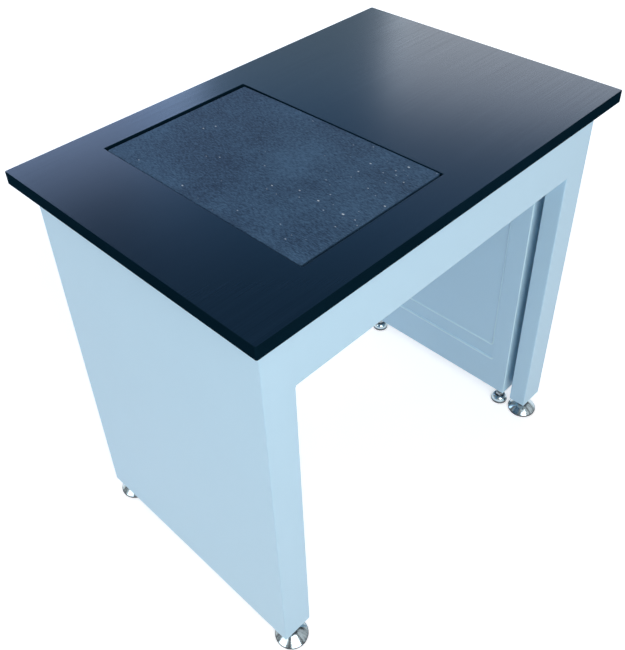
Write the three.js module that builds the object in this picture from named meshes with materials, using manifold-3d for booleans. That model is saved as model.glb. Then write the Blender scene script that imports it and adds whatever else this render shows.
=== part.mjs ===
import * as THREE from 'three';
import { mergeVertices } from 'three/addons/utils/BufferGeometryUtils.js';
import Module from 'manifold-3d';

const wasm = await Module();
wasm.setup();

// A weighing balance table. The black worktop stands on a sheet-steel outer table. The granite slab
// let into it stands on an inner pedestal of its own, so hands on the worktop don't shake the balance.
// Millimetres, +Z up, floor at Z = 0, origin below the middle of the worktop, front towards -Y.

// Worktop, and how far it stands out past the outer table on each side
const TOP_LENGTH = 900;
const TOP_DEPTH = 600;
const TOP_THICKNESS = 24;
const TABLE_HEIGHT = 850;
const TOP_ARRIS = 1;
const OVERHANG_LEFT = 30;
const OVERHANG_RIGHT = 18;
const OVERHANG_FRONT = 34;
const OVERHANG_REAR = 26;

// Granite slab, and the cut-out that leaves it free all round
const SLAB_LENGTH = 307;
const SLAB_THICKNESS = 50;
const SLAB_ARRIS = 1.5;
const SLAB_BELOW_TOP = 1;
const SLAB_GAP_LEFT = 1;
const SLAB_GAP_RIGHT = 4;
const SLAB_GAP_FRONT = 3.5;
const SLAB_GAP_REAR = 7.5;
const CUTOUT_FROM_LEFT = 150.5;
const CUTOUT_FROM_FRONT = 69;
const CUTOUT_FROM_REAR = 63;

// Outer table of folded sheet
const GROUND_CLEARANCE = 45;
const POST_WIDTH = 64;
const POST_DEPTH = 39;
const POST_WALL = 1.5;
const PANEL_SHEET = 1.2;
const PANEL_FLANGE = 14;
const APRON_HEIGHT = 143;
const APRON_FLANGE = 30;
const APRON_SHEET = 1.5;
const FOOT_PLATE_THICKNESS = 5;
const FOOT_BOSS_DIAMETER = 24;
const FOOT_BOSS_HEIGHT = 10;

// Inner pedestal: casings, infill panels, uprights, beams and bearers
const PEDESTAL_GAP = 19;
const RECESS_CLEARANCE = 8.8;
const CASING_SHEET = 1.5;
const INFILL_SHEET = 1.2;
const INFILL_LAP = 12;
const WINDOW_SILL = 93;
const WINDOW_HEAD = 60;
const STEP_HEIGHT = 36;
const FIELD_RECESS = 1.5;
const STILE_REVEAL = 8;
const UPRIGHT_DEPTH = 34;
const UPRIGHT_INSET = 3;
const UPRIGHT_WALL = 2;
const UPRIGHT_PLUG = 12;
const BEAM_WIDTH = 25;
const BEAM_HEIGHT = 50;
const BEAM_WALL = 2.5;
const BEARER_WIDTH = 40;
const BEARER_HEIGHT = 30;
const BEARER_WALL = 2;
const BEARER_FROM_SIDE = 48.5;

// Rubber isolators and the bearing plate that they carry under the slab
const ISOLATOR_DIAMETER = 38;
const ISOLATOR_WAIST = 30;
const ISOLATOR_HEIGHT = 22;
const ISOLATOR_BEAD = 4;
const ISOLATOR_FROM_END = 73.5;
const PLATE_THICKNESS = 4;
const PLATE_MARGIN = 8;

// Levelling feet: a domed pad, a threaded stem with a spanner collar, and a jam nut
const TABLE_PAD_DIAMETER = 65;
const TABLE_PAD_HEIGHT = 21;
const TABLE_NECK_DIAMETER = 22;
const TABLE_STEM_DIAMETER = 12;
const TABLE_NUT_FLATS = 19;
const PEDESTAL_PAD_DIAMETER = 39;
const PEDESTAL_PAD_HEIGHT = 19;
const PEDESTAL_NECK_DIAMETER = 18;
const PEDESTAL_STEM_DIAMETER = 10;
const PEDESTAL_NUT_FLATS = 17;
const PAD_RIM_HEIGHT = 3;
const PAD_RIM_WIDTH = 3.5;
const PAD_EDGE = 1.5;
const PAD_NECK_HEIGHT = 2;
const SOCKET_DEPTH = 12;
const COLLAR_HEIGHT = 6;
const NUT_HEIGHT = 6;
const STEM_REACH = 60;

// Clearances: between seated pieces, and round a thread or a stem in its socket
const SEAT_GAP = 0.3;
const THREAD_CLEARANCE = 0.3;

// Sides of a drawn circle, and steps along the curve of a pad's dome
const ROUND_SIDES = 20;
const DOME_STEPS = 4;

// The outer table's middle and half sizes, and the levels of the whole stack
const BODY_X = (OVERHANG_LEFT - OVERHANG_RIGHT) / 2;
const BODY_Y = (OVERHANG_FRONT - OVERHANG_REAR) / 2;
const BODY_HALF_X = (TOP_LENGTH - OVERHANG_LEFT - OVERHANG_RIGHT) / 2;
const BODY_HALF_Y = (TOP_DEPTH - OVERHANG_FRONT - OVERHANG_REAR) / 2;
const TOP_UNDERSIDE = TABLE_HEIGHT - TOP_THICKNESS;
const SLAB_TOP = TABLE_HEIGHT - SLAB_BELOW_TOP;
const SLAB_BASE = SLAB_TOP - SLAB_THICKNESS;
const PLATE_BASE = SLAB_BASE - PLATE_THICKNESS;
const BEARER_TOP = PLATE_BASE - ISOLATOR_HEIGHT;
const BEAM_TOP = BEARER_TOP - BEARER_HEIGHT;
const CASING_TOP = BEAM_TOP - BEAM_HEIGHT;

// Planes across the left and right sides, measured out from the body's middle
const PANEL_FACE = BODY_HALF_X - PANEL_SHEET;
const INNER_FACE = BODY_HALF_X - POST_WIDTH;
const CASING_DEPTH = POST_WIDTH - PANEL_SHEET - PANEL_FLANGE - RECESS_CLEARANCE;
const CASING_EDGE = INNER_FACE + CASING_DEPTH;
const INFILL_FACE = INNER_FACE + CASING_SHEET;
const INFILL_BACK = INFILL_FACE + INFILL_SHEET;
const UPRIGHT_FACE = INFILL_BACK + SEAT_GAP;
const UPRIGHT_EDGE = CASING_EDGE - UPRIGHT_INSET;
const UPRIGHT_X = (UPRIGHT_FACE + UPRIGHT_EDGE) / 2;

// Planes along the front and rear, measured out from the body's middle
const POST_BACK = BODY_HALF_Y - POST_DEPTH;
const CASING_END = POST_BACK - PEDESTAL_GAP;
const UPRIGHT_END = CASING_END - CASING_SHEET - SEAT_GAP;
const UPRIGHT_Y = UPRIGHT_END - UPRIGHT_DEPTH / 2;
const WINDOW_END = UPRIGHT_END - UPRIGHT_DEPTH - STILE_REVEAL;
const BEAM_END = UPRIGHT_Y + BEAM_WIDTH / 2;

// The cut-out's span in the worktop, and the slab's depth and middle inside it
const CUTOUT_LEFT = CUTOUT_FROM_LEFT - TOP_LENGTH / 2;
const CUTOUT_FRONT = CUTOUT_FROM_FRONT - TOP_DEPTH / 2;
const CUTOUT_RIGHT = CUTOUT_LEFT + SLAB_GAP_LEFT + SLAB_LENGTH + SLAB_GAP_RIGHT;
const CUTOUT_REAR = TOP_DEPTH / 2 - CUTOUT_FROM_REAR;
const SLAB_DEPTH = CUTOUT_REAR - SLAB_GAP_REAR - SLAB_GAP_FRONT - CUTOUT_FRONT;
const SLAB_X = CUTOUT_LEFT + SLAB_GAP_LEFT + SLAB_LENGTH / 2;
const SLAB_Y = CUTOUT_FRONT + SLAB_GAP_FRONT + SLAB_DEPTH / 2;
const BEARER_REACH = SLAB_LENGTH / 2 - BEARER_FROM_SIDE;
const ISOLATOR_REACH = SLAB_DEPTH / 2 - ISOLATOR_FROM_END;

const SIDES = { left: -1, right: 1 };
const ENDS = { front: -1, rear: 1 };

const FINISHES = {
  paint: { color: 0xbdd9e9, roughness: 0.42, metalness: 0 },
  board: { color: 0x161d27, roughness: 0.38, metalness: 0 },
  granite: { color: 0x3c4f66, roughness: 0.7, metalness: 0 },
  rubber: { color: 0x1b1c1e, roughness: 0.85, metalness: 0 },
  zinc: { color: 0x9ea6ab, roughness: 0.4, metalness: 1 },
  chrome: { color: 0xd7dbde, roughness: 0.12, metalness: 1 },
};

// A closed body for joining and cutting, and back to a geometry again
function solid(geometry) {
  const bare = geometry.clone();
  bare.deleteAttribute('normal');
  bare.deleteAttribute('uv');
  const merged = mergeVertices(bare);
  const vertProperties = new Float32Array(merged.attributes.position.array);
  const triVerts = new Uint32Array(merged.index.array);
  return new wasm.Manifold(new wasm.Mesh({ numProp: 3, vertProperties, triVerts }));
}

function skin(body) {
  const { vertProperties, triVerts } = body.getMesh();
  const geometry = new THREE.BufferGeometry();
  geometry.setAttribute('position', new THREE.BufferAttribute(vertProperties, 3));
  geometry.setIndex(new THREE.BufferAttribute(triVerts, 1));
  geometry.computeVertexNormals();
  return geometry;
}

function join(first, ...others) {
  return skin(others.reduce((body, other) => body.add(solid(other)), solid(first)));
}

function cut(first, ...tools) {
  return skin(tools.reduce((body, tool) => body.subtract(solid(tool)), solid(first)));
}

// A span from a to b, measured out from the middle towards the given side
function span(sign, a, b) {
  return sign < 0 ? [-b, -a] : [a, b];
}

// A span of the given width about a middle
function about(middle, width) {
  return [middle - width / 2, middle + width / 2];
}

function box([x0, x1], [y0, y1], [z0, z1]) {
  const geometry = new THREE.BoxGeometry(1, 1, 1);
  const at = geometry.attributes.position;
  for (let i = 0; i < at.count; i++) {
    at.setXYZ(i, at.getX(i) < 0 ? x0 : x1, at.getY(i) < 0 ? y0 : y1, at.getZ(i) < 0 ? z0 : z1);
  }
  return geometry;
}

function outline(points) {
  return new THREE.Shape(points.map(([x, y]) => new THREE.Vector2(x, y)));
}

function rectangle([x0, x1], [y0, y1]) {
  return outline([[x0, y0], [x1, y0], [x1, y1], [x0, y1]]);
}

function polygon(x, y, radius, sides) {
  const turns = Array.from({ length: sides }, (_, i) => (i / sides) * 2 * Math.PI);
  return outline(turns.map((a) => [x + radius * Math.cos(a), y + radius * Math.sin(a)]));
}

function circle(x, y, diameter) {
  return polygon(x, y, diameter / 2, ROUND_SIDES);
}

function hexagon(x, y, acrossFlats) {
  return polygon(x, y, acrossFlats / Math.sqrt(3), 6);
}

function pierced(shape, ...holes) {
  shape.holes.push(...holes);
  return shape;
}

// A straight bar of the given section along one axis. The section lies in the next two axes, in the
// order X, Y, Z, X, Y, and both ends lie exactly on their planes.
function bar(axis, section, [start, end]) {
  const geometry = new THREE.ExtrudeGeometry(section, { depth: 1, bevelEnabled: false });
  const at = geometry.attributes.position;
  const along = 'xyz'.indexOf(axis);
  const place = [0, 0, 0];
  for (let i = 0; i < at.count; i++) {
    place[along] = at.getZ(i) < 0.5 ? start : end;
    place[(along + 1) % 3] = at.getX(i);
    place[(along + 2) % 3] = at.getY(i);
    at.setXYZ(i, ...place);
  }
  return geometry;
}

// A flat board with its upper and lower edges eased by an arris
function board(shape, [z0, z1], arris) {
  const geometry = new THREE.ExtrudeGeometry(shape, {
    depth: z1 - z0 - 2 * arris,
    bevelThickness: arris,
    bevelSize: arris,
    bevelOffset: -arris,
    bevelSegments: 1,
  }).translate(0, 0, z0 + arris);
  const at = geometry.attributes.position;
  for (let i = 0; i < at.count; i++) {
    const level = at.getZ(i);
    if (level < z0 + arris / 2) at.setZ(i, z0);
    if (level > z1 - arris / 2) at.setZ(i, z1);
  }
  return geometry;
}

// A turned piece about an upright axis at x, y, from a profile of [radius, height] points
function turned(profile, x, y) {
  const points = profile.map(([radius, height]) => new THREE.Vector2(radius, height));
  return new THREE.LatheGeometry(points, ROUND_SIDES).rotateX(Math.PI / 2).translate(x, y, 0);
}

const table = new THREE.Group();
const body = new THREE.Group();
body.position.set(BODY_X, BODY_Y, 0);
table.add(body);

function place(parent, name, finish, geometry) {
  const mesh = new THREE.Mesh(geometry, new THREE.MeshStandardMaterial(FINISHES[finish]));
  mesh.name = name;
  parent.add(mesh);
}

function worktop() {
  const plan = rectangle(about(0, TOP_LENGTH), about(0, TOP_DEPTH));
  const opening = rectangle([CUTOUT_LEFT, CUTOUT_RIGHT], [CUTOUT_FRONT, CUTOUT_REAR]);
  const height = [TOP_UNDERSIDE, TABLE_HEIGHT];
  place(table, 'worktop', 'board', board(pierced(plan, opening), height, TOP_ARRIS));
}

// One flat sheet over both posts of a side, with a flange folded in along its top and bottom
function sidePanel(name, side) {
  const flangeX = span(side, PANEL_FACE - PANEL_FLANGE, BODY_HALF_X);
  const flangeY = about(0, 2 * (POST_BACK - SEAT_GAP));
  const height = [GROUND_CLEARANCE, TOP_UNDERSIDE];
  place(body, name + '_side_panel', 'paint', join(
    box(span(side, PANEL_FACE, BODY_HALF_X), about(0, 2 * BODY_HALF_Y), height),
    box(flangeX, flangeY, [TOP_UNDERSIDE - PANEL_SHEET, TOP_UNDERSIDE]),
    box(flangeX, flangeY, [GROUND_CLEARANCE, GROUND_CLEARANCE + PANEL_SHEET]),
  ));
}

// A box post of folded sheet, and the threaded plate welded into its lower end
function post(name, side, end) {
  const wide = span(side, INNER_FACE, PANEL_FACE);
  const deep = span(end, POST_BACK, BODY_HALF_Y);
  const inset = (range, by) => [range[0] + by, range[1] - by];
  const hollow = rectangle(inset(wide, POST_WALL), inset(deep, POST_WALL));
  const tube = pierced(rectangle(wide, deep), hollow);
  place(body, name + '_post', 'paint', bar('z', tube, [GROUND_CLEARANCE, TOP_UNDERSIDE]));

  const [x, y] = tableFootPlace(side, end);
  const bore = circle(x, y, TABLE_STEM_DIAMETER + 2 * THREAD_CLEARANCE);
  const seat = POST_WALL + SEAT_GAP;
  const plate = pierced(rectangle(inset(wide, seat), inset(deep, seat)), bore);
  const boss = pierced(circle(x, y, FOOT_BOSS_DIAMETER), bore);
  const plateTop = GROUND_CLEARANCE + FOOT_PLATE_THICKNESS;
  place(body, name + '_foot_plate', 'zinc', join(
    bar('z', plate, [GROUND_CLEARANCE, plateTop]),
    bar('z', boss, [plateTop, plateTop + FOOT_BOSS_HEIGHT]),
  ));
}

function tableFootPlace(side, end) {
  return [side * (BODY_HALF_X - POST_WIDTH / 2), end * (BODY_HALF_Y - POST_DEPTH / 2)];
}

// A folded channel between two posts, its flanges turned inwards, its face flush with the posts
function apron(name, end) {
  const low = TOP_UNDERSIDE - APRON_HEIGHT;
  const face = end * BODY_HALF_Y;
  const web = end * (BODY_HALF_Y - APRON_SHEET);
  const lip = end * (BODY_HALF_Y - APRON_FLANGE);
  const channel = outline([
    [face, low], [lip, low], [lip, low + APRON_SHEET], [web, low + APRON_SHEET],
    [web, TOP_UNDERSIDE - APRON_SHEET], [lip, TOP_UNDERSIDE - APRON_SHEET],
    [lip, TOP_UNDERSIDE], [face, TOP_UNDERSIDE],
  ]);
  place(body, name + '_apron', 'paint', bar('x', channel, [-INNER_FACE, INNER_FACE]));
}

// A folded pan, open on its outer side, with a window in its face for the infill panel
function casing(name, side) {
  const shell = box(
    span(side, INNER_FACE, CASING_EDGE),
    about(0, 2 * CASING_END),
    [GROUND_CLEARANCE, CASING_TOP],
  );
  const pocket = box(
    span(side, INFILL_FACE, CASING_EDGE + CASING_SHEET),
    about(0, 2 * (CASING_END - CASING_SHEET)),
    [GROUND_CLEARANCE + CASING_SHEET, CASING_TOP - CASING_SHEET],
  );
  const window = box(
    span(side, INNER_FACE - CASING_SHEET, INFILL_BACK),
    about(0, 2 * WINDOW_END),
    [GROUND_CLEARANCE + WINDOW_SILL, CASING_TOP - WINDOW_HEAD],
  );
  const holes = Object.values(ENDS).map((end) => {
    const hole = circle(side * UPRIGHT_X, end * UPRIGHT_Y, PEDESTAL_STEM_DIAMETER + 2 * THREAD_CLEARANCE);
    return bar('z', hole, [GROUND_CLEARANCE - CASING_SHEET, GROUND_CLEARANCE + 2 * CASING_SHEET]);
  });
  place(body, name + '_pedestal_casing', 'paint', cut(shell, pocket, window, ...holes));
}

// A sheet behind the window, with its main field pressed back again above a low step
function infill(name, side) {
  const sill = GROUND_CLEARANCE + WINDOW_SILL;
  const head = CASING_TOP - WINDOW_HEAD;
  const field = about(0, 2 * WINDOW_END);
  const fieldHeight = [sill + STEP_HEIGHT, head];
  const fieldFace = INFILL_FACE + FIELD_RECESS;
  const sheet = box(
    span(side, INFILL_FACE, INFILL_BACK),
    about(0, 2 * (WINDOW_END + INFILL_LAP)),
    [sill - INFILL_LAP, head + INFILL_LAP],
  );
  const pressing = box(
    span(side, INFILL_FACE, fieldFace + INFILL_SHEET),
    about(0, 2 * (WINDOW_END + INFILL_SHEET)),
    [fieldHeight[0] - INFILL_SHEET, fieldHeight[1] + INFILL_SHEET],
  );
  const recess = box(span(side, INFILL_FACE - FIELD_RECESS, fieldFace), field, fieldHeight);
  place(body, name + '_pedestal_infill', 'paint', cut(join(sheet, pressing), recess));
}

// A tube in each corner of the pedestal, its lower end plugged and threaded for the foot
function upright(name, side, end) {
  const low = GROUND_CLEARANCE + CASING_SHEET;
  const high = CASING_TOP - CASING_SHEET;
  const wide = span(side, UPRIGHT_FACE, UPRIGHT_EDGE);
  const deep = span(end, UPRIGHT_END - UPRIGHT_DEPTH, UPRIGHT_END);
  const hollow = box(
    span(side, UPRIGHT_FACE + UPRIGHT_WALL, UPRIGHT_EDGE - UPRIGHT_WALL),
    span(end, UPRIGHT_END - UPRIGHT_DEPTH + UPRIGHT_WALL, UPRIGHT_END - UPRIGHT_WALL),
    [low + UPRIGHT_PLUG, high + UPRIGHT_WALL],
  );
  const bore = circle(side * UPRIGHT_X, end * UPRIGHT_Y, PEDESTAL_STEM_DIAMETER + 2 * THREAD_CLEARANCE);
  place(body, name + '_upright', 'zinc', cut(
    box(wide, deep, [low, high]),
    hollow,
    bar('z', bore, [low - UPRIGHT_WALL, low + UPRIGHT_PLUG + UPRIGHT_WALL]),
  ));
}

// A rectangular tube along one axis, given by its spans in the next two
function tube(axis, [a0, a1], [b0, b1], wall, length) {
  const hollow = rectangle([a0 + wall, a1 - wall], [b0 + wall, b1 - wall]);
  return bar(axis, pierced(rectangle([a0, a1], [b0, b1]), hollow), length);
}

// Beams lie across the two casings, over the uprights
function beam(name, end) {
  const deep = about(end * UPRIGHT_Y, BEAM_WIDTH);
  const length = [-CASING_EDGE, CASING_EDGE];
  place(body, name + '_beam', 'paint', tube('x', deep, [CASING_TOP, BEAM_TOP], BEAM_WALL, length));
}

// Bearers lie across the two beams, under the slab
function bearer(name, side) {
  const wide = about(SLAB_X - BODY_X + side * BEARER_REACH, BEARER_WIDTH);
  const length = [-BEAM_END, BEAM_END];
  place(body, name + '_bearer', 'paint', tube('y', [BEAM_TOP, BEARER_TOP], wide, BEARER_WALL, length));
}

// A waisted rubber block with a bead at each end
function isolator(name, side, end) {
  const low = BEARER_TOP;
  const rim = ISOLATOR_DIAMETER / 2;
  const waist = ISOLATOR_WAIST / 2;
  place(table, name + '_isolator', 'rubber', turned([
    [0, low], [rim, low], [rim, low + ISOLATOR_BEAD], [waist, low + ISOLATOR_HEIGHT / 2],
    [rim, PLATE_BASE - ISOLATOR_BEAD], [rim, PLATE_BASE], [0, PLATE_BASE],
  ], SLAB_X + side * BEARER_REACH, SLAB_Y + end * ISOLATOR_REACH));
}

function slabOnPlate() {
  const plateX = about(SLAB_X, SLAB_LENGTH - 2 * PLATE_MARGIN);
  const plateY = about(SLAB_Y, SLAB_DEPTH - 2 * PLATE_MARGIN);
  place(table, 'slab_bearing_plate', 'zinc', box(plateX, plateY, [PLATE_BASE, SLAB_BASE]));
  const plan = rectangle(about(SLAB_X, SLAB_LENGTH), about(SLAB_Y, SLAB_DEPTH));
  place(table, 'granite_slab', 'granite', board(plan, [SLAB_BASE, SLAB_TOP], SLAB_ARRIS));
}

// One levelling foot under a threaded plate: the pad, the stem that turns in it, and the jam nut
function levellingFoot(name, x, y, { pad, height, neck, stem, flats }) {
  const dome = Array.from({ length: DOME_STEPS + 1 }, (_, i) => {
    const turn = (i / DOME_STEPS) * Math.PI / 2;
    const reach = pad / 2 - PAD_RIM_WIDTH - neck / 2;
    const rise = height - PAD_NECK_HEIGHT - PAD_RIM_HEIGHT;
    return [neck / 2 + reach * Math.cos(turn), PAD_RIM_HEIGHT + rise * Math.sin(turn)];
  });
  const socket = stem / 2 + THREAD_CLEARANCE;
  const socketFloor = height - SOCKET_DEPTH;
  place(body, name + '_foot_pad', 'chrome', turned([
    [0, 0], [pad / 2 - PAD_EDGE, 0], [pad / 2, PAD_EDGE], [pad / 2, PAD_RIM_HEIGHT], ...dome,
    [neck / 2, height], [socket, height], [socket, socketFloor], [0, socketFloor],
  ], x, y));

  const collarBase = height + SEAT_GAP;
  const shank = circle(x, y, stem);
  place(body, name + '_foot_stem', 'zinc', join(
    bar('z', shank, [socketFloor + SEAT_GAP, GROUND_CLEARANCE + STEM_REACH]),
    bar('z', hexagon(x, y, flats), [collarBase, collarBase + COLLAR_HEIGHT]),
  ));

  const nut = pierced(hexagon(x, y, flats), circle(x, y, stem + 2 * THREAD_CLEARANCE));
  place(body, name + '_jam_nut', 'zinc', bar('z', nut, [GROUND_CLEARANCE - NUT_HEIGHT, GROUND_CLEARANCE]));
}

const TABLE_FOOT = {
  pad: TABLE_PAD_DIAMETER,
  height: TABLE_PAD_HEIGHT,
  neck: TABLE_NECK_DIAMETER,
  stem: TABLE_STEM_DIAMETER,
  flats: TABLE_NUT_FLATS,
};
const PEDESTAL_FOOT = {
  pad: PEDESTAL_PAD_DIAMETER,
  height: PEDESTAL_PAD_HEIGHT,
  neck: PEDESTAL_NECK_DIAMETER,
  stem: PEDESTAL_STEM_DIAMETER,
  flats: PEDESTAL_NUT_FLATS,
};

worktop();
slabOnPlate();
for (const [sideName, side] of Object.entries(SIDES)) {
  sidePanel(sideName, side);
  casing(sideName, side);
  infill(sideName, side);
  bearer(sideName, side);
  for (const [endName, end] of Object.entries(ENDS)) {
    const corner = endName + '_' + sideName;
    post(corner, side, end);
    upright(corner, side, end);
    isolator(corner, side, end);
    levellingFoot(corner + '_table', ...tableFootPlace(side, end), TABLE_FOOT);
    levellingFoot(corner + '_pedestal', side * UPRIGHT_X, end * UPRIGHT_Y, PEDESTAL_FOOT);
  }
}
for (const [endName, end] of Object.entries(ENDS)) {
  apron(endName, end);
  beam(endName, end);
}

export default table;
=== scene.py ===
import bpy
import numpy as np
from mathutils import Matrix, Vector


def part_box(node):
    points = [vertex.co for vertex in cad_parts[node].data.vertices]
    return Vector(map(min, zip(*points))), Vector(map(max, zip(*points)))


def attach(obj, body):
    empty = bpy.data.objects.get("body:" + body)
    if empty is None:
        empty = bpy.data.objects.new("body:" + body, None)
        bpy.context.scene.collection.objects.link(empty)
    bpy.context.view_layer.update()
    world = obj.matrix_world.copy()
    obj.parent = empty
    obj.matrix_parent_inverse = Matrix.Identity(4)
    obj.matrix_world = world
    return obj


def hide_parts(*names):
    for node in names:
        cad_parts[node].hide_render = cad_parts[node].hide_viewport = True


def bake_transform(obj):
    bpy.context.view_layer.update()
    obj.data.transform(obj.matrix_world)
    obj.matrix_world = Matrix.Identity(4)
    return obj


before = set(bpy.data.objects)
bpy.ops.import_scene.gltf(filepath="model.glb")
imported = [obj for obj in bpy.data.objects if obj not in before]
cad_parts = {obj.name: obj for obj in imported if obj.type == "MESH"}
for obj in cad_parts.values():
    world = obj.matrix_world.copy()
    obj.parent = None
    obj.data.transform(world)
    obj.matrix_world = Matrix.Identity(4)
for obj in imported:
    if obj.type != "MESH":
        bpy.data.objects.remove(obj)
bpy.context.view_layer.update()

# The levelling feet. Each has a spun steel dome, polished and chrome plated, on a thin rubber sole.
# A zinc-plated stud with a spanner collar turns in the dome, and a jam nut locks it under its stand.
CORNERS = [end + "_" + side for side in ("left", "right") for end in ("front", "rear")]
STAND_BODY = {"table": "outer_table", "pedestal": "pedestal"}
THREAD_PITCH = {"table": 1.75e-3, "pedestal": 1.5e-3}
STUD_RADIUS = {"table": 6.0e-3, "pedestal": 5.0e-3}
SPANNER_FLATS = {"table": 19.0e-3, "pedestal": 17.0e-3}
DOME_FULLNESS = {"table": 1.0, "pedestal": 1.7}
COLLAR_HEIGHT = 6.0e-3
COLLAR_GAP = 0.3e-3
FACE_CIRCLE = 0.47
HEX_CHAMFER = 0.9e-3
BORE_GAP = 0.25e-3
BORE_CHAMFER = 0.6e-3
SOLE_THICKNESS = 2.2e-3
SOLE_INSET = 0.5e-3
SOLE_CHAMFER = 0.5e-3
RIM_ROLL = 0.6e-3
RIM_HEIGHT = 1.4e-3
NECK_FLARE = 5.0e-3
NECK_HEIGHT = 2.4e-3
NECK_ROLL = 0.8e-3
# How far the painted shade on the chrome reaches in from the rim and out from the neck.
RIM_SHADE_WIDTH = 0.7e-3
NECK_SHADE_REACH = 3.0e-3
MIDDLE_FACE = 1.0e-3
ROUND_POINTS = 72
THREAD_POINTS = 28
THREAD_STEPS = 8
GROOVE_DEPTH = 0.6
SHARPEST_BEND = np.radians(38)


def box_of(node):
    """The two far corners of a node's box, in metres."""
    low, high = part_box(node)
    return np.array(low), np.array(high)


def ring_surface(rings, closed=False):
    """Quads between neighbouring rings of points. A closed surface joins its last ring to its first,
    like a tyre, and an open one gets a flat face over each end ring."""
    count, points = rings.shape[:2]
    i = np.arange(count if closed else count - 1)[:, None]
    j = np.arange(points)[None, :]
    onward = (j + 1) % points
    above = (i + 1) % count
    quads = np.stack(
        [i * points + j, i * points + onward, above * points + onward, above * points + j], -1)
    faces = quads.reshape(-1, 4).tolist()
    if not closed:
        faces.append(list(range(points - 1, -1, -1)))
        faces.append(list(range((count - 1) * points, count * points)))
    return rings.reshape(-1, 3), faces


def finished(name, shells, body, material, stands_for=()):
    """One object from closed shells of vertices and faces, smooth over its bends and crisp at its corners.
    Where two bodies are named, it is attached to neither, and its place is baked into its points."""
    starts = np.cumsum([0] + [len(points) for points, _ in shells])
    faces = [[v + int(start) for v in face] for (_, fs), start in zip(shells, starts) for face in fs]
    mesh = bpy.data.meshes.new(name)
    mesh.from_pydata(np.concatenate([points for points, _ in shells]).tolist(), [], faces)
    mesh.polygons.foreach_set("use_smooth", np.ones(len(faces), bool))
    mesh.set_sharp_from_angle(angle=SHARPEST_BEND)
    mesh.materials.append(material)
    piece = bpy.data.objects.new(name, mesh)
    bpy.context.scene.collection.objects.link(piece)
    normals = piece.modifiers.new("even_faces", "WEIGHTED_NORMAL")
    normals.keep_sharp = True
    if isinstance(body, str):
        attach(piece, body)
    else:
        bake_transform(piece)
    if stands_for:
        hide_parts(*stands_for)
    return piece


def upright_rings(radius, turn, height, centre):
    """Rings of points round an upright axis: x and y are the radius times the cosine and sine of the turn,
    and z is the height."""
    flat = radius[..., None] * np.stack([np.cos(turn), np.sin(turn)], -1) + np.asarray(centre)[:2]
    return np.concatenate([flat, np.broadcast_to(height[:, None, None], flat.shape[:2] + (1,))], -1)


def turned_rings(profile, centre):
    """A profile of radius and height, carried round an upright axis."""
    turn = np.arange(ROUND_POINTS) * 2 * np.pi / ROUND_POINTS
    radius, height = np.asarray(profile, float).T
    return upright_rings(np.repeat(radius[:, None], ROUND_POINTS, 1), turn, height, centre)


def hexagon_rings(flats, levels, centre):
    """Hexagons whose corners a cone cuts off: the radius is half the flats over the cosine of the angle
    from the nearest flat's middle, but no more than each level's own limit. Levels are pairs of limit
    and height."""
    turn = np.arange(ROUND_POINTS) * 2 * np.pi / ROUND_POINTS
    from_flat = (turn + np.pi / 6) % (np.pi / 3) - np.pi / 6
    limit, height = np.asarray(levels, float).T
    radius = np.minimum(flats / 2 / np.cos(from_flat)[None, :], limit[:, None])
    return upright_rings(radius, turn, height, centre)


def thread_rings(radius, pitch, low, high, centre):
    """A threaded stud: the radius dips below the crest by a triangle wave of height over pitch less turn,
    cut flat at crest and root, so that each groove climbs one pitch a turn. Both ends taper off."""
    height = np.linspace(low, high, int((high - low) / pitch * THREAD_STEPS))
    turn = np.arange(THREAD_POINTS) * 2 * np.pi / THREAD_POINTS
    phase = (height[:, None] / pitch - turn / (2 * np.pi)) % 1.0
    groove = GROOVE_DEPTH * pitch * np.clip(np.abs(2 * phase - 1) * 1.25 - 0.12, 0, 1)
    taper = np.minimum(height - low, high - height) + radius - 0.75 * pitch
    return upright_rings(np.minimum(radius - groove, taper[:, None]), turn, height, centre)


def dome_profile(radius, neck, height, fullness):
    """From the sole outwards over an upright rim with rolled edges, then up to the neck. The rise is one
    less a power of the share of the way from neck to rim, all to the power of one over the fullness.
    A fullness of 1 is nearly a cone, and 2 nearly an ellipse."""
    roll = np.linspace(-np.pi / 2, 0, 5)
    rim_base = SOLE_THICKNESS + RIM_ROLL
    rim_top = rim_base + RIM_HEIGHT
    low_edge = np.stack([radius - RIM_ROLL * (1 - np.cos(roll)), rim_base + RIM_ROLL * np.sin(roll)], -1)
    high_edge = np.stack([low_edge[::-1, 0], rim_base + rim_top - low_edge[::-1, 1]], -1)
    start = high_edge[-1]
    share = np.linspace(1, 0, 26)[1:]
    rise = (1 - share ** (0.25 + fullness)) ** (1 / fullness)
    dome_height = height - NECK_HEIGHT - start[1]
    dome = np.stack([neck + (start[0] - neck) * share, start[1] + dome_height * rise], -1)
    lip = np.linspace(0, np.pi / 2, 5)
    shoulder = np.stack([neck - NECK_ROLL * (1 - np.cos(lip)), height - NECK_ROLL * (1 - np.sin(lip))], -1)
    under = [[MIDDLE_FACE, SOLE_THICKNESS]]
    return np.concatenate([under, low_edge, high_edge, dome, shoulder, [[MIDDLE_FACE, height]]])


def fed(tree, node, inputs):
    """Sets each named input of a node to a number or colour, or links another node's output to it."""
    for socket, given in inputs.items():
        if isinstance(given, bpy.types.NodeSocket):
            tree.links.new(given, node.inputs[socket])
        else:
            node.inputs[socket].default_value = given
    return node


def placed(tree, kind, inputs, **settings):
    """Places a shader node with its settings and inputs."""
    node = tree.nodes.new(kind)
    for setting, choice in settings.items():
        setattr(node, setting, choice)
    return fed(tree, node, inputs)


def worked_out(tree, operation, *terms):
    """One step of arithmetic on numbers and other nodes' outputs."""
    return placed(tree, "ShaderNodeMath", dict(enumerate(terms)), operation=operation).outputs["Value"]


def stretched(tree, place, stretch):
    """A place with each of its parts multiplied, so that a pattern is drawn out or squeezed."""
    node = placed(tree, "ShaderNodeVectorMath", {0: place, 1: stretch}, operation="MULTIPLY")
    return node.outputs["Vector"]


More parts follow.
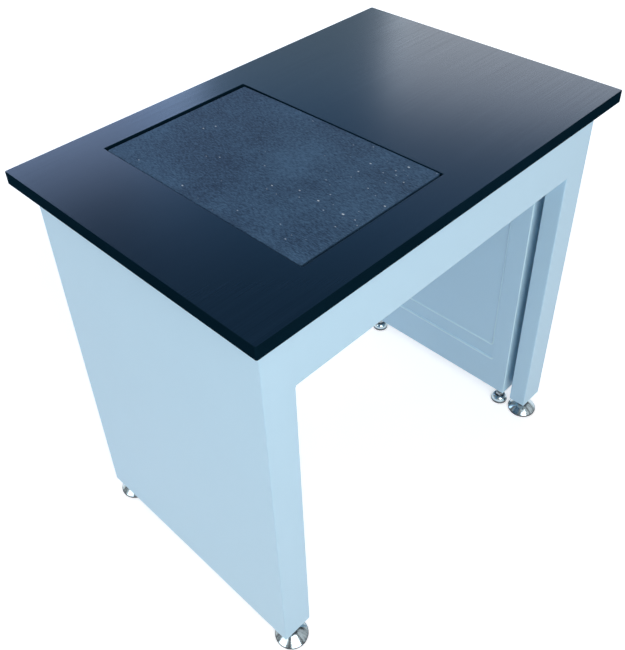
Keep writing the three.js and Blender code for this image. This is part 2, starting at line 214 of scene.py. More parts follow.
def measured(tree, place, way):
    """How far a place lies along a way."""
    node = placed(tree, "ShaderNodeVectorMath", {0: place, 1: way}, operation="DOT_PRODUCT")
    return node.outputs["Value"]


def ranged(tree, value, low, high, start=0.3, end=0.7):
    """A number that goes from low to high as a value goes from start to end."""
    spans = {"Value": value, "From Min": start, "From Max": end, "To Min": low, "To Max": high}
    return placed(tree, "ShaderNodeMapRange", spans).outputs["Result"]


def toned(tree, value, low, high):
    """A colour that goes from low to high as a value goes from 0.3 to 0.7, where most of a noise lies."""
    ramp = placed(tree, "ShaderNodeValToRGB", {"Fac": value})
    for stop, position, colour in zip(ramp.color_ramp.elements, (0.3, 0.7), (low, high)):
        stop.position = position
        stop.color = (*colour, 1.0)
    return ramp.outputs["Color"]


def mixed(tree, share, first, second):
    """One colour passing into another by a share."""
    colours = {"Factor": share, "A": first, "B": second}
    return placed(tree, "ShaderNodeMix", colours, data_type="RGBA").outputs["Result"]


def raised(tree, value, depth):
    """Bumps of a depth in metres from a value."""
    return placed(tree, "ShaderNodeBump", {"Distance": depth, "Height": value}).outputs["Normal"]


def uneven_surface():
    """The slow and the fine unevenness that every finish here has: two noises over the piece's own place,
    the slow one for tone and sheen, and the fine one, stretched along any axis, for bumps."""
    group = bpy.data.node_groups.new("uneven_surface", "ShaderNodeTree")
    for name, kind in (("Slow Scale", "Float"), ("Fine Scale", "Float"), ("Stretch", "Vector")):
        group.interface.new_socket(name, in_out="INPUT", socket_type="NodeSocket" + kind)
    for name in ("Slow", "Fine"):
        group.interface.new_socket(name, in_out="OUTPUT", socket_type="NodeSocketFloat")
    given = group.nodes.new("NodeGroupInput").outputs
    place = group.nodes.new("ShaderNodeTexCoord").outputs["Object"]
    slow = placed(group, "ShaderNodeTexNoise", {
        "Vector": place,
        "Scale": given["Slow Scale"],
        "Detail": 3.0,
    })
    fine = placed(group, "ShaderNodeTexNoise", {
        "Vector": stretched(group, place, given["Stretch"]),
        "Scale": given["Fine Scale"],
        "Detail": 4.0,
        "Roughness": 0.6,
    })
    shown = group.nodes.new("NodeGroupOutput")
    fed(group, shown, {"Slow": slow.outputs["Fac"], "Fine": fine.outputs["Fac"]})
    return group


UNEVEN = uneven_surface()


def uneven_in(tree, slow, fine, stretch=(1.0, 1.0, 1.0)):
    """Places the unevenness in a material with the sizes that suit it, and gives its two values."""
    scales = {"Slow Scale": slow, "Fine Scale": fine, "Stretch": stretch}
    node = placed(tree, "ShaderNodeGroup", scales, node_tree=UNEVEN)
    return node.outputs["Slow"], node.outputs["Fine"]


def new_finish(name, fixed):
    """A material and its Principled shader, with what is the same all over set on the shader itself."""
    material = bpy.data.materials.new(name)
    material.use_nodes = True
    tree = material.node_tree
    return material, tree, fed(tree, tree.nodes["Principled BSDF"], fixed)


def noted(piece, name, values):
    """Keeps one number for each point of a piece, which its material reads by name."""
    layer = piece.data.attributes.new(name, "FLOAT", "POINT")
    layer.data.foreach_set("value", np.asarray(values, np.float32).ravel())


def note_in(tree, name):
    """Places a noted number in a material."""
    return placed(tree, "ShaderNodeAttribute", {}, attribute_name=name).outputs["Fac"]


def chrome_plate():
    """Polished chrome with faint turning marks, and painted shade that darkens it at the rim and the neck.
    """
    material, tree, shader = new_finish("polished_chrome", {"Metallic": 1.0})
    slow, marks = uneven_in(tree, 40.0, 30.0, (1.0, 1.0, 60.0))
    plated_tone = toned(tree, slow, (0.45, 0.57, 0.63), (0.61, 0.72, 0.77))
    fed(tree, shader, {
        # The noted share paints shade in dark grey over the chrome at the rim and the neck.
        "Base Color": mixed(tree, note_in(tree, "painted_shade"), plated_tone, (0.12, 0.14, 0.16, 1.0)),
        "Roughness": ranged(tree, marks, 0.08, 0.18),
        "Normal": raised(tree, marks, 7.0e-5),
    })
    return material


def zinc_plate():
    """Grey zinc plate, clouded, and duller where it is darker."""
    material, tree, shader = new_finish("zinc_plate", {"Metallic": 1.0})
    slow, fine = uneven_in(tree, 90.0, 900.0)
    fed(tree, shader, {
        "Base Color": toned(tree, slow, (0.40, 0.43, 0.45), (0.56, 0.59, 0.60)),
        "Roughness": ranged(tree, slow, 0.42, 0.28),
        "Normal": raised(tree, fine, 3.0e-5),
    })
    return material


def black_rubber():
    """Matt black rubber with a bloom on it."""
    material, tree, shader = new_finish("black_rubber", {"IOR": 1.45})
    slow, fine = uneven_in(tree, 60.0, 1100.0)
    fed(tree, shader, {
        "Base Color": toned(tree, slow, (0.012, 0.012, 0.013), (0.028, 0.028, 0.030)),
        "Roughness": ranged(tree, slow, 0.72, 0.9),
        "Normal": raised(tree, fine, 8.0e-5),
    })
    return material


CHROME = chrome_plate()
ZINC = zinc_plate()
RUBBER = black_rubber()


def foot_dome(foot, neck, fullness):
    """The dome with its sole. Painted shade fills the rim, and thins out from the neck over a few
    millimetres.
    """
    low, high = box_of(foot + "_foot_pad")
    centre = (low + high) / 2
    radius = (high[0] - low[0]) / 2
    profile = dome_profile(radius, neck, high[2], fullness)
    dome = ring_surface(turned_rings(profile, centre))
    cap = finished(foot + "_dome", [dome], foot + "_pad", CHROME, [foot + "_foot_pad"])
    # Painted shade: the foot of the rim, and the neck where it meets the stud under its stand.
    at_rim = radius - profile[:, 0] < RIM_SHADE_WIDTH
    at_neck = np.clip(1 - (profile[:, 0] - neck) / NECK_SHADE_REACH, 0, 1)
    noted(cap, "painted_shade", np.repeat(np.maximum(at_rim, at_neck), ROUND_POINTS))

    edge = radius - SOLE_INSET
    section = [(MIDDLE_FACE, 0), (edge - SOLE_CHAMFER, 0), (edge, SOLE_CHAMFER), (edge, SOLE_THICKNESS),
               (MIDDLE_FACE, SOLE_THICKNESS)]
    sole = ring_surface(turned_rings(section, centre))
    finished(foot + "_sole", [sole], foot + "_pad", RUBBER)
    return centre, high[2]


def levelling_foot(corner, stand):
    """A foot of one stand: its dome and sole, its stud with the collar on it, and its jam nut."""
    foot = corner + "_" + stand
    stud = STUD_RADIUS[stand]
    flats = SPANNER_FLATS[stand]
    across_corners = flats / np.sqrt(3)
    face_circle = FACE_CIRCLE * flats
    centre, dome_top = foot_dome(foot, stud + NECK_FLARE, DOME_FULLNESS[stand])

    base = dome_top + COLLAR_GAP
    top = base + COLLAR_HEIGHT
    collar_levels = [(face_circle, base), (across_corners, base + HEX_CHAMFER),
                     (across_corners, top - HEX_CHAMFER), (face_circle, top)]
    collar = ring_surface(hexagon_rings(flats, collar_levels, centre))
    stem_top = box_of(foot + "_foot_stem")[1][2]
    thread = ring_surface(thread_rings(stud, THREAD_PITCH[stand], top, stem_top, centre))
    finished(foot + "_stud", [collar, thread], foot + "_stem", ZINC, [foot + "_foot_stem"])

    base, top = (point[2] for point in box_of(foot + "_jam_nut"))
    bore = stud + BORE_GAP
    nut_levels = [(bore, base + BORE_CHAMFER), (bore + BORE_CHAMFER, base), (face_circle, base),
                  (across_corners, base + HEX_CHAMFER), (across_corners, top - HEX_CHAMFER),
                  (face_circle, top), (bore + BORE_CHAMFER, top), (bore, top - BORE_CHAMFER)]
    nut = ring_surface(hexagon_rings(flats, nut_levels, centre), closed=True)
    finished(foot + "_nut", [nut], STAND_BODY[stand], ZINC, [foot + "_jam_nut"])


for stand in STAND_BODY:
    for corner in CORNERS:
        levelling_foot(corner, stand)


# The uprights of the inner pedestal. Each is a length of zinc-plated square tube with rounded corners.
# A threaded plug welded into its lower end takes the stud of a foot.
UPRIGHT_WALL = 2.0e-3
UPRIGHT_CORNER = 3.0e-3
PLUG_HEIGHT = 12.0e-3
PLUG_INSET = 0.2e-3
PLUG_CORNER = 1.5e-3
PLUG_EDGE = 0.3e-3
SMALLEST_CORNER = 0.1e-3
SMALLEST_BORE_CORNER = 0.3e-3
AXIS_TURNS = {"z": 0, "x": 1, "y": 2}


def rounded_rectangle(low, high, radii, per_corner=6):
    """Four quarter circles in the corners of a rectangle, counter-clockwise from its far corner, joined by
    straight sides. Radii are one number, or one for each corner in that order."""
    turn = np.linspace(0, np.pi / 2, per_corner)
    angle = (np.arange(4)[:, None] * np.pi / 2 + turn).ravel()
    radius = np.repeat(np.broadcast_to(radii, 4), per_corner)
    far_x = np.repeat([True, False, False, True], per_corner)
    far_y = np.repeat([True, True, False, False], per_corner)
    x = np.where(far_x, high[0] - radius, low[0] + radius) + radius * np.cos(angle)
    y = np.where(far_y, high[1] - radius, low[1] + radius) + radius * np.sin(angle)
    return np.stack([x, y], -1)


def stacked(outlines, levels, axis="z"):
    """Flat outlines set at levels along an axis. Each outline lies in the next two axes, in the order
    x, y, z, x."""
    flat = np.asarray(outlines)
    level = np.broadcast_to(np.asarray(levels, float)[:, None, None], flat.shape[:2] + (1,))
    return np.roll(np.concatenate([flat, level], -1), AXIS_TURNS[axis], axis=-1)


def across(point, axis):
    """A point's two places across an axis, in the order that outlines use."""
    return np.roll(np.asarray(point), -AXIS_TURNS[axis])[:2]


def along(point, axis):
    """A point's place along an axis."""
    return float(np.asarray(point)["xyz".index(axis)])


def tube_between(low, high, wall, radius, axis):
    """A rectangular tube: its outer outline up one side, in over the end, down its bore and out again."""
    a, b = across(low, axis), across(high, axis)
    outer = rounded_rectangle(a, b, radius)
    inner = rounded_rectangle(a + wall, b - wall, max(radius - wall, SMALLEST_BORE_CORNER))
    start, end = along(low, axis), along(high, axis)
    return ring_surface(stacked([outer, outer, inner, inner], [start, end, end, start], axis), closed=True)


def plate_rings(low, high, radius, edge, axis="z", steps=4):
    """A plate with rounded corners and eased edges: outlines drawn in by the edge radius less its sine, and
    set at levels that follow its cosine, over both faces."""
    a, b = across(low, axis), across(high, axis)
    start, end = along(low, axis), along(high, axis)
    turn = np.linspace(0, np.pi / 2, steps)
    inset = edge * np.concatenate([1 - np.sin(turn), 1 - np.cos(turn)])
    level = np.concatenate([start + edge * (1 - np.cos(turn)), end - edge * (1 - np.sin(turn))])
    outlines = [rounded_rectangle(a + i, b - i, max(radius - i, SMALLEST_CORNER)) for i in inset]
    return stacked(outlines, level, axis)


def plate_between(low, high, radius, edge, axis="z"):
    """The surface over those rings, with both faces closed."""
    return ring_surface(plate_rings(low, high, radius, edge, axis))


for corner in CORNERS:
    low, high = box_of(corner + "_upright")
    tube = tube_between(low, high, UPRIGHT_WALL, UPRIGHT_CORNER, "z")
    plug_low = low + (UPRIGHT_WALL, UPRIGHT_WALL, PLUG_INSET)
    plug_high = np.append(high[:2] - UPRIGHT_WALL, low[2] + PLUG_HEIGHT)
    plug = plate_between(plug_low, plug_high, PLUG_CORNER, PLUG_EDGE)
    finished(corner + "_upright_tube", [tube, plug], "pedestal", ZINC, [corner + "_upright"])


# The casings of the inner pedestal. Each is a pan folded from one steel sheet, open towards the side panel,
# with a window in its face that the infill closes from behind and a bead pressed along the window's sill.
# All of it is powder coated.
CASING_SHEET = 1.5e-3
CASING_BEND = 1.9e-3
WINDOW_SILL = 93.0e-3
WINDOW_HEAD = 60.0e-3
WINDOW_CORNER = 3.0e-3
SILL_WIDTH = 6.5e-3
SILL_HEIGHT = 1.4e-3
SILL_STEPS = 7
STILE_WIDTH = 43.8e-3
FOLD_STEPS = 6
TIGHTEST_FOLD = 0.2e-3


def powder_coat():
    """Pale blue powder coat with a painted highlight, nearly white, where a pressed edge stands out."""
    material, tree, shader = new_finish("pale_powder_coat", {"IOR": 1.5})
    slow, fine = uneven_in(tree, 3.5, 900.0)
    coat = toned(tree, slow, (0.490, 0.725, 0.885), (0.520, 0.750, 0.905))
    fed(tree, shader, {
        # The noted share paints a near-white highlight over the coat along beads and folds.
        "Base Color": mixed(tree, note_in(tree, "painted_highlight"), coat, (0.68, 0.92, 1.0, 1.0)),
        "Roughness": ranged(tree, slow, 0.36, 0.44),
        "Normal": raised(tree, fine, 6.0e-5),
    })
    return material


PAINT = powder_coat()


def sided(side, near, far):
    """A span from a near to a far distance from the middle, as low and high on the given side."""
    return (near, far) if side == "right" else (far, near)


def casing(side):
    """Rings from the window's edge out over the sill's bead, across the face, round the fold and along the
    walls, then back inside them. The bead stands out by the sine of the way across it, below the window
    alone. Bead and fold carry a painted highlight."""
    node = side + "_pedestal_casing"
    low, high = box_of(node)
    face, edge = sided(side, low[0], high[0])
    outward = np.sign(edge - face)
    back = face + outward * CASING_SHEET
    a, b = low[1:], high[1:]
    window_low = a + (STILE_WIDTH, WINDOW_SILL)
    window_high = b - (STILE_WIDTH, WINDOW_HEAD)
    roll = np.linspace(0, np.pi, SILL_STEPS)
    rims = [rounded_rectangle(window_low - i, window_high + i, WINDOW_CORNER + i)
            for i in SILL_WIDTH * roll / np.pi]
    turn = np.linspace(0, np.pi / 2, FOLD_STEPS)
    folds = [rounded_rectangle(a + i, b - i, max(CASING_BEND - i, TIGHTEST_FOLD))
             for i in CASING_BEND * (1 - np.sin(turn))]
    fold_levels = face + outward * CASING_BEND * (1 - np.cos(turn))
    inner = rounded_rectangle(a + CASING_SHEET, b - CASING_SHEET, CASING_BEND - CASING_SHEET)
    outlines = [*rims, *folds, folds[-1], inner, inner, rims[0]]
    rings = stacked(outlines, [*np.full(SILL_STEPS, face), *fold_levels, edge, edge, back, back], "x")
    # The sill's bead rises by this share, and the same share paints a highlight along it.
    painted_highlight = np.zeros(rings.shape[:2])
    below_window = window_low[1] + WINDOW_CORNER - rings[:SILL_STEPS, :, 2]
    painted_highlight[:SILL_STEPS] = np.sin(roll)[:, None] * np.clip(below_window / WINDOW_CORNER, 0, 1)
    rings[..., 0] -= outward * SILL_HEIGHT * painted_highlight
    # A painted highlight along the fold, where the bend catches the light.
    painted_highlight[SILL_STEPS:SILL_STEPS + FOLD_STEPS] = np.sin(turn * 5 / 3)[:, None]
    if side == "left":
        rings, painted_highlight = rings[::-1], painted_highlight[::-1]
    shell = ring_surface(rings, closed=True)
    pan = finished(side + "_casing_pan", [shell], "pedestal", PAINT, [node])
    noted(pan, "painted_highlight", painted_highlight)


for side in ("left", "right"):
    casing(side)


# The infill panels. Each is a sheet fixed behind its casing's window, with a bead pressed round a broad
# field above a low step, so that the sheet doesn't drum. It is powder coated like the casing.
INFILL_SHEET = 1.2e-3
INFILL_CORNER = 2.0e-3
FIELD_RECESS = 0.6e-3
STEP_HEIGHT = 36.0e-3
FIELD_MARGIN = 12.0e-3
FIELD_CORNER = 5.0e-3
BEAD_WIDTH = 6.0e-3
BEAD_HEIGHT = 1.4e-3
BEAD_STEPS = 11


def infill(side):
    """Rings from the field outwards over its bead: the face falls back to the field with half a cosine wave,
    and the bead stands on that fall with the square of a sine. Its lower half carries a painted highlight."""
    node = side + "_pedestal_infill"
    low, high = box_of(node)
    face, back = sided(side, low[0], high[0])
    inward = np.sign(back - face)
    a, b = low[1:], high[1:]
    field_low = a + (FIELD_MARGIN, FIELD_MARGIN + STEP_HEIGHT)
    field_high = b - FIELD_MARGIN
    turn = np.linspace(0, np.pi, BEAD_STEPS)
    beads = [rounded_rectangle(field_low + BEAD_WIDTH - i, field_high - BEAD_WIDTH + i, FIELD_CORNER + i)
             for i in BEAD_WIDTH * turn / np.pi]
    rim = rounded_rectangle(a, b, INFILL_CORNER)
    swell = np.sin(turn) ** 2
    level = face + inward * (FIELD_RECESS * (1 + np.cos(turn)) / 2 - BEAD_HEIGHT * swell)
    behind = inward * INFILL_SHEET
    front = stacked([*beads, rim], [*level, face], "x")
    rear = stacked([rim, *beads[::-1]], [face + behind, *(level[::-1] + behind)], "x")
    rings = np.concatenate([front, rear])
    # A painted highlight along the bead's crest, on the lower half of the panel.
    crest = np.concatenate([swell, np.zeros(BEAD_STEPS + 2)])
    painted_highlight = crest[:, None] * (rings[..., 2] < (low[2] + high[2]) / 2)
    if side == "left":
        rings, painted_highlight = rings[::-1], painted_highlight[::-1]
    panel = finished(side + "_infill_panel", [ring_surface(rings)], "pedestal", PAINT, [node])
    noted(panel, "painted_highlight", painted_highlight)


for side in ("left", "right"):
    infill(side)


# The beams and the bearers. Two rectangular tubes lie across the casings over the uprights, and two more
# lie across those under the slab. They are sawn from tube, welded and powder coated.
BEAM_CORNER = 4.0e-3
BEAM_WALL = 2.5e-3
BEARER_WALL = 2.0e-3

for end in ("front", "rear"):
    beam = tube_between(*box_of(end + "_beam"), BEAM_WALL, BEAM_CORNER, "x")
    finished(end + "_beam_tube", [beam], "pedestal", PAINT, [end + "_beam"])
for side in ("left", "right"):
    bearer = tube_between(*box_of(side + "_bearer"), BEARER_WALL, BEAM_CORNER, "y")
    finished(side + "_bearer_tube", [bearer], "pedestal", PAINT, [side + "_bearer"])


# The isolators. Each is a waisted block of moulded black rubber with a bead at either end, bonded between
# the bearer and the plate under the slab. It gives as the plate moves, and keeps shaking from the balance.
ISOLATOR_BEAD = 2.0e-3
ISOLATOR_WAIST = 15.0e-3


def waisted_profile(radius, low, high):
    """A rolled bead at each end and between them a hollow: the radius falls to the waist with a power of
    the sine of the way up."""
    roll = np.linspace(-np.pi / 2, np.pi / 2, 7)
    neck = radius - ISOLATOR_BEAD
    middle = low + ISOLATOR_BEAD
    lower = np.stack([neck + ISOLATOR_BEAD * np.cos(roll), middle + ISOLATOR_BEAD * np.sin(roll)], -1)
    upper = np.stack([lower[::-1, 0], low + high - lower[::-1, 1]], -1)
    share = np.linspace(0, 1, 15)[1:-1]
    waist = neck - (neck - ISOLATOR_WAIST) * np.sin(np.pi * share) ** 0.8
    hollow = np.stack([waist, lower[-1, 1] + (upper[0, 1] - lower[-1, 1]) * share], -1)
    return np.concatenate([[[MIDDLE_FACE, low]], lower, hollow, upper, [[MIDDLE_FACE, high]]])


for corner in CORNERS:
    node = corner + "_isolator"
    low, high = box_of(node)
    profile = waisted_profile((high[0] - low[0]) / 2, low[2], high[2])
    block = ring_surface(turned_rings(profile, (low + high) / 2))
    finished(corner + "_rubber_block", [block], ("pedestal", "bearing_plate"), RUBBER, [node])


# The bearing plate. It is a sawn and zinc-plated steel plate on the isolators, and the slab lies on it.
# Its corners are rounded off by hand.
PLATE_CORNER = 4.0e-3
PLATE_EDGE = 0.4e-3

plate = plate_between(*box_of("slab_bearing_plate"), PLATE_CORNER, PLATE_EDGE)
finished("bearing_plate_sheet", [plate], "bearing_plate", ZINC, ["slab_bearing_plate"])


# The posts of the outer table. Each is a box folded from steel sheet with its seam hidden behind the side
# panel, and a threaded plate welded into its lower end. Where an apron is welded on, the bend is ground
# flush. The posts are powder coated, the plates zinc plated.
POST_WALL = 1.5e-3
POST_BEND = 2.4e-3
POST_FLUSH = 0.15e-3
POST_BORE_CORNER = 0.9e-3
GROUND_LENGTH = 3.0e-3


def post(corner):
    """An upright box: its outline with two bent corners, the one beside the apron sharpened above the weld,
    then its bore down again."""
    low, high = box_of(corner + "_post")
    end, side = corner.split("_")
    weld = box_of(end + "_apron")[0][2]
    is_inner = np.array([True, False, False, True]) == (side == "left")
    is_outer_end = np.array([False, False, True, True]) == (end == "front")
    bent = np.where(is_inner, POST_BEND, POST_FLUSH)
    flush = np.where(is_inner & is_outer_end, POST_FLUSH, bent)
    below = rounded_rectangle(low[:2], high[:2], bent)
    beside = rounded_rectangle(low[:2], high[:2], flush)
    bore = rounded_rectangle(low[:2] + POST_WALL, high[:2] - POST_WALL, POST_BORE_CORNER)
    levels = [low[2], weld - GROUND_LENGTH, weld, high[2], high[2], low[2]]
    box = ring_surface(stacked([below, below, beside, beside, bore, bore], levels), closed=True)
    finished(corner + "_post_box", [box], "outer_table", PAINT, [corner + "_post"])
    foot_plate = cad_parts[corner + "_foot_plate"]
    foot_plate.data.materials.clear()
    foot_plate.data.materials.append(ZINC)


for corner in CORNERS:
    post(corner)


# The side panels. Each is one flat sheet over both posts of a side, with a flange folded in along its upper
# and lower edge for stiffness. It is powder coated with the posts and screwed to them from inside.
PANEL_SHEET = 1.2e-3
PANEL_CORNER = 0.8e-3
PANEL_EDGE = 0.5e-3
FLANGE_EDGE = 0.3e-3
FLANGE_GAP = 0.3e-3


def side_panel(side):
    """Three plates: the sheet over the whole side, and between the posts a flange at its foot and head."""
    node = side + "_side_panel"
    low, high = box_of(node)
    inner, outer = sided(side, low[0], high[0])
    skin = outer - np.sign(outer - inner) * PANEL_SHEET
    sheet_low = np.array([min(outer, skin), low[1], low[2]])
    sheet_high = np.array([max(outer, skin), high[1], high[2]])
    sheet = plate_between(sheet_low, sheet_high, PANEL_CORNER, PANEL_EDGE, "x")
    front_post = box_of("front_" + side + "_post")[1][1]
    rear_post = box_of("rear_" + side + "_post")[0][1]
    flange_low = np.array([min(inner, skin), front_post + FLANGE_GAP, low[2]])
    flange_high = np.array([max(inner, skin), rear_post - FLANGE_GAP, low[2] + PANEL_SHEET])
    lower = plate_between(flange_low, flange_high, PANEL_CORNER, FLANGE_EDGE)
    lift = np.array([0, 0, high[2] - low[2] - PANEL_SHEET])
    upper = plate_between(flange_low + lift, flange_high + lift, PANEL_CORNER, FLANGE_EDGE)
    finished(side + "_panel_sheet", [sheet, lower, upper], "outer_table", PAINT, [node])


for side in ("left", "right"):
    side_panel(side)


# The aprons. Each is a channel folded from steel sheet between two posts, its face flush with theirs and
# its flanges turned inwards. The worktop is screwed down through the upper flange.
APRON_SHEET = 1.5e-3
APRON_BEND = 2.4e-3
WELD_REACH = 0.3e-3


def bent_strip(points, radius, thickness, steps=6):
    """A strip folded along a path of straight runs: each corner is a quarter circle, and the section's two
    sides lie half the thickness to either side of that line."""
    path = np.asarray(points, float)
    runs = np.diff(path, axis=0)
    ways = runs / np.linalg.norm(runs, axis=1, keepdims=True)
    before, after = ways[:-1, None], ways[1:, None]
    turn = np.linspace(0, np.pi / 2, steps)[None, :, None]
    centre = path[1:-1, None] + radius * (after - before)
    arcs = centre + radius * (before * np.sin(turn) - after * np.cos(turn))
    bends = before * np.cos(turn) + after * np.sin(turn)
    line = np.concatenate([path[:1], arcs.reshape(-1, 2), path[-1:]])
    way = np.concatenate([ways[:1], bends.reshape(-1, 2), ways[-1:]])
    aside = np.stack([-way[:, 1], way[:, 0]], -1) * thickness / 2
    return np.concatenate([line - aside, (line + aside)[::-1]])


def apron(end):
    """The section of a channel, carried from post to post."""
    node = end + "_apron"
    low, high = box_of(node)
    face, lip = (low[1], high[1]) if end == "front" else (high[1], low[1])
    web = face + np.sign(lip - face) * APRON_SHEET / 2
    bottom, top = low[2] + APRON_SHEET / 2, high[2] - APRON_SHEET / 2
    section = bent_strip([(lip, top), (web, top), (web, bottom), (lip, bottom)], APRON_BEND, APRON_SHEET)
    channel = ring_surface(stacked([section, section], [low[0] - WELD_REACH, high[0] + WELD_REACH], "x"))
    finished(end + "_apron_channel", [channel], "outer_table", PAINT, [node])


for end in ("front", "rear"):
    apron(end)


# The worktop. It is a dense black laboratory board, sanded to a satin sheen and left with fine lines along
# its length. Its edges are eased, and a cut-out routed through it leaves the slab free all round.
TOP_EASING = 1.2e-3
TOP_CORNER = 3.0e-3
CUTOUT_LOW = np.array([-0.2995, -0.2310])
CUTOUT_HIGH = np.array([0.0125, 0.2370])
CUTOUT_CORNER = 2.0e-3


def black_board():
    """Blue-black board with a satin sheen on its upper face alone, thinner along the sanding lines. Its sawn
    edges are darker."""
    material, tree, shader = new_finish(
        "black_board", {"Specular IOR Level": 0.0, "Coat Roughness": 0.22, "Coat IOR": 1.55})
    slow, lines = uneven_in(tree, 5.0, 60.0, (0.06, 14.0, 14.0))
    sheen = note_in(tree, "sheen")
    sawn = toned(tree, slow, (0.0018, 0.0105, 0.0190), (0.0030, 0.0145, 0.0260))
    sanded = toned(tree, lines, (0.0022, 0.0150, 0.0340), (0.0045, 0.0215, 0.0460))
    fed(tree, shader, {
        "Base Color": mixed(tree, sheen, sawn, sanded),
        "Roughness": ranged(tree, slow, 0.5, 0.62),
        "Coat Weight": worked_out(tree, "MULTIPLY", ranged(tree, lines, 0.76, 1.0), sheen),
    })
    return material


low, high = box_of("worktop")
turn = np.linspace(0, np.pi / 2, 5)
ease = TOP_EASING * (1 - np.cos(turn))
rise = TOP_EASING * (1 - np.sin(turn))
outer = [rounded_rectangle(low[:2] + i, high[:2] - i, TOP_CORNER) for i in (*rise, *ease)]
inner = [rounded_rectangle(CUTOUT_LOW - i, CUTOUT_HIGH + i, CUTOUT_CORNER) for i in (*rise, *ease)]
levels = [*(low[2] + ease), *(high[2] - rise)]
rings = stacked([*outer, *inner[::-1]], [*levels, *levels[::-1]])
shell = ring_surface(rings, closed=True)
board = finished("worktop_board", [shell], "outer_table", black_board(), ["worktop"])
noted(board, "sheen", rings[..., 2] > high[2] - 1.0e-6)


# The slab. It is sawn from dark blue-grey granite and honed matt, with its edges rubbed round. Pale crystals
# show in its grain. It lies loose on its plate, and its right edge runs in a little towards the rear.
SLAB_ARRIS = 1.0e-3
SLAB_CORNER = 2.5e-3
FRONT_CUT = 1.5e-3
RIGHT_SPARE = 3.3e-3
RIGHT_HOLLOW = 3.0e-3


def honed_granite():
    """Dark blue-grey stone: short pale threads along its length over slow clouds. Each cell of a cell noise
    may hold a crystal at its middle. One random number of the cell's own chooses whether it does, more
    often towards the front right, and another how large and pale it is."""
    material, tree, shader = new_finish("honed_granite", {"Specular IOR Level": 0.3})
    clouds, threads = uneven_in(tree, 9.0, 640.0, (1.0, 0.26, 1.0))
    grain = worked_out(tree, "MULTIPLY_ADD", clouds, 0.55, worked_out(tree, "SUBTRACT", threads, 0.275))
    stone = toned(tree, grain, (0.001, 0.018, 0.052), (0.056, 0.125, 0.215))

    place = tree.nodes.new("ShaderNodeTexCoord").outputs["Object"]
    drawn_out = stretched(tree, place, (1.0, 0.6, 1.0))
    cells = placed(tree, "ShaderNodeTexVoronoi", {"Vector": drawn_out, "Scale": 160.0}).outputs
    chance = placed(tree, "ShaderNodeSeparateColor", {"Color": cells["Color"]}).outputs
    rarity = ranged(tree, measured(tree, place, (-0.6, 1.0, 0.0)), 0.30, 0.90, -0.22, 0.08)
    chosen = worked_out(tree, "GREATER_THAN", chance["Red"], rarity)
    smallness = ranged(tree, chance["Green"], 2.6, 0.7, 0.0, 1.0)
    reach = worked_out(tree, "MULTIPLY", cells["Distance"], smallness)
    crystal = worked_out(tree, "MULTIPLY", ranged(tree, reach, 0.0, 1.0, 0.20, 0.10), chosen)
    paleness = worked_out(tree, "POWER", chance["Green"], 2.0)
    flecks = worked_out(tree, "MULTIPLY", crystal, paleness)
    fed(tree, shader, {
        "Base Color": mixed(tree, flecks, stone, (0.62, 0.70, 0.76, 1.0)),
        "Roughness": ranged(tree, clouds, 0.58, 0.7),
        "Normal": raised(tree, threads, 1.5e-4),
    })
    return material


low, high = box_of("granite_slab")
rings = plate_rings(low + (0, FRONT_CUT, 0), high, SLAB_CORNER, SLAB_ARRIS, steps=5)
share = np.linspace(0, 1, 16)[1:-1, None]
right_side = rings[:, -1:] + (rings[:, :1] - rings[:, -1:]) * share
rings = np.concatenate([rings, right_side], 1)
on_right = rings[..., 0] > (low[0] + high[0]) / 2
to_rear = (rings[..., 1] - low[1]) / (high[1] - low[1])
rings[..., 0] += np.where(on_right, RIGHT_SPARE - RIGHT_HOLLOW * to_rear ** 4, 0)
finished("granite_block", [ring_surface(rings)], "slab", honed_granite(), ["granite_slab"])


# The studio. A plain pale floor, broad soft lights in front and on the left, weaker ones behind that show
# in the satin top, a white backdrop, and a camera where the photograph was taken from.
FLOOR_REACH = 6.0
FLOOR_LEVEL = -0.0002
FLOOR_GLOW = 0.56
GLOW_NEAR = 1.2
GLOW_FAR = 4.5
AMBIENT = 0.20
CEILING = 0.035
TOP_HEIGHT = 0.85
CAMERA_PLACE = (-0.9060, -0.8722, 1.5593)
CAMERA_TURN = (50.9642, 1.6279, -45.6846)
CAMERA_LENS = 46.119
CAMERA_SHIFT = (-0.0014, -0.0853)


def pale_floor():
    """Pale and matt. To the eye and in reflections it glows as well, and more with its distance from the
    table, where the lights reach it less, so that it stays white out to its edge."""
    material, tree, shader = new_finish("pale_floor", {
        "Base Color": (0.80, 0.80, 0.80, 1.0),
        "Roughness": 0.9,
        "Specular IOR Level": 0.1,
        "Emission Color": (1.0, 1.0, 1.0, 1.0),
    })
    rays = tree.nodes.new("ShaderNodeLightPath").outputs
    looked_at = worked_out(tree, "MAXIMUM", rays["Is Camera Ray"], rays["Is Glossy Ray"])
    place = tree.nodes.new("ShaderNodeTexCoord").outputs["Object"]
    away = placed(tree, "ShaderNodeVectorMath", {0: place}, operation="LENGTH").outputs["Value"]
    glow = ranged(tree, away, FLOOR_GLOW, 1.0, GLOW_NEAR, GLOW_FAR)
    fed(tree, shader, {"Emission Strength": worked_out(tree, "MULTIPLY", looked_at, glow)})
    return material


floor_corners = np.array([(-1, -1), (1, -1), (1, 1), (-1, 1)]) * FLOOR_REACH
mesh = bpy.data.meshes.new("floor")
mesh.from_pydata(np.column_stack([floor_corners, np.full(4, FLOOR_LEVEL)]).tolist(), [], [[0, 1, 2, 3]])
mesh.materials.append(pale_floor())
floor = bpy.data.objects.new("floor", mesh)
bpy.context.scene.collection.objects.link(floor)


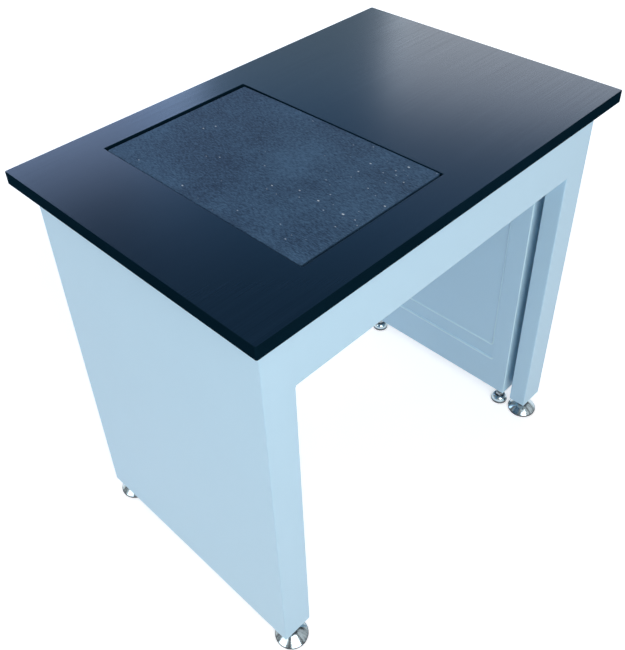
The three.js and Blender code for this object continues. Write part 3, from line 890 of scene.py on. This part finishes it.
def soft_panel(name, bearing, rise, distance, size, power, colour):
    """A rectangular soft light at a bearing and a rise in degrees, seen from the middle of the worktop, and
    turned towards it. Its size is its width and height."""
    lamp = bpy.data.lights.new(name, "AREA")
    lamp.shape = "RECTANGLE"
    lamp.size, lamp.size_y = size
    lamp.energy = power
    lamp.color = colour
    light = bpy.data.objects.new(name, lamp)
    bpy.context.scene.collection.objects.link(light)
    around, up = np.radians([bearing, rise])
    way = np.array([np.cos(up) * np.cos(around), np.cos(up) * np.sin(around), np.sin(up)])
    light.location = way * distance + (0, 0, TOP_HEIGHT)
    light.rotation_euler = (np.pi / 2 - up, 0, around + np.pi / 2)
    light.visible_camera = False


soft_panel("front_panel", 246, 30, 3.2, (2.4, 2.0), 73.0, (1.0, 1.0, 1.0))
soft_panel("left_panel", 172, 24, 3.6, (2.2, 2.2), 35.0, (0.90, 0.96, 1.0))
soft_panel("right_rear_panel", 24, 17, 3.2, (1.5, 1.1), 13.4, (0.83, 0.90, 1.0))
soft_panel("rear_panel", 49, 16, 3.2, (1.4, 1.2), 4.0, (0.56, 0.80, 1.0))
soft_panel("left_rear_panel", 79, 19, 3.2, (2.3, 1.3), 30.0, (0.47, 0.63, 1.0))
soft_panel("rear_sky_panel", 36, 33, 3.2, (3.0, 1.0), 5.8, (0.18, 0.48, 1.0))


def studio_brightness(tree):
    """White to the eye, and an even dim light on matt surfaces. In reflections it is white at the horizon
    and fades upwards into a dim room with brighter patches, which end on the side behind the table."""
    rays = tree.nodes.new("ShaderNodeLightPath").outputs
    way = tree.nodes.new("ShaderNodeTexCoord").outputs["Generated"]
    in_front = ranged(tree, measured(tree, way, (0.707, 0.707, 0.0)), 1.0, 0.0, 0.40, 0.58)
    patches = placed(tree, "ShaderNodeTexNoise", {"Vector": way, "Scale": 4.5, "Detail": 1.0}).outputs["Fac"]
    room = ranged(tree, patches, 0.06, 0.70, 0.42, 0.60)
    ceiling = worked_out(tree, "MULTIPLY_ADD", room, in_front, CEILING)
    mirrored = ranged(tree, measured(tree, way, (0.0, 0.0, 1.0)), 1.0, ceiling, 0.08, 0.26)
    unseen = placed(tree, "ShaderNodeMix", {"Factor": rays["Is Glossy Ray"], "A": AMBIENT, "B": mirrored})
    seen = {"Factor": rays["Is Camera Ray"], "A": unseen.outputs["Result"], "B": 1.0}
    return placed(tree, "ShaderNodeMix", seen).outputs["Result"]


world = bpy.data.worlds.new("studio")
bpy.context.scene.world = world
world.use_nodes = True
tree = world.node_tree
backdrop = {"Color": (1.0, 1.0, 1.0, 1.0), "Strength": studio_brightness(tree)}
fed(tree, tree.nodes["Background"], backdrop)

camera = bpy.data.objects.new("camera", bpy.data.cameras.new("camera"))
bpy.context.scene.collection.objects.link(camera)
camera.location = CAMERA_PLACE
camera.rotation_euler = np.radians(CAMERA_TURN)
camera.data.lens = CAMERA_LENS
camera.data.shift_x, camera.data.shift_y = CAMERA_SHIFT
bpy.context.scene.camera = camera
bpy.context.scene.view_settings.view_transform = "Standard"
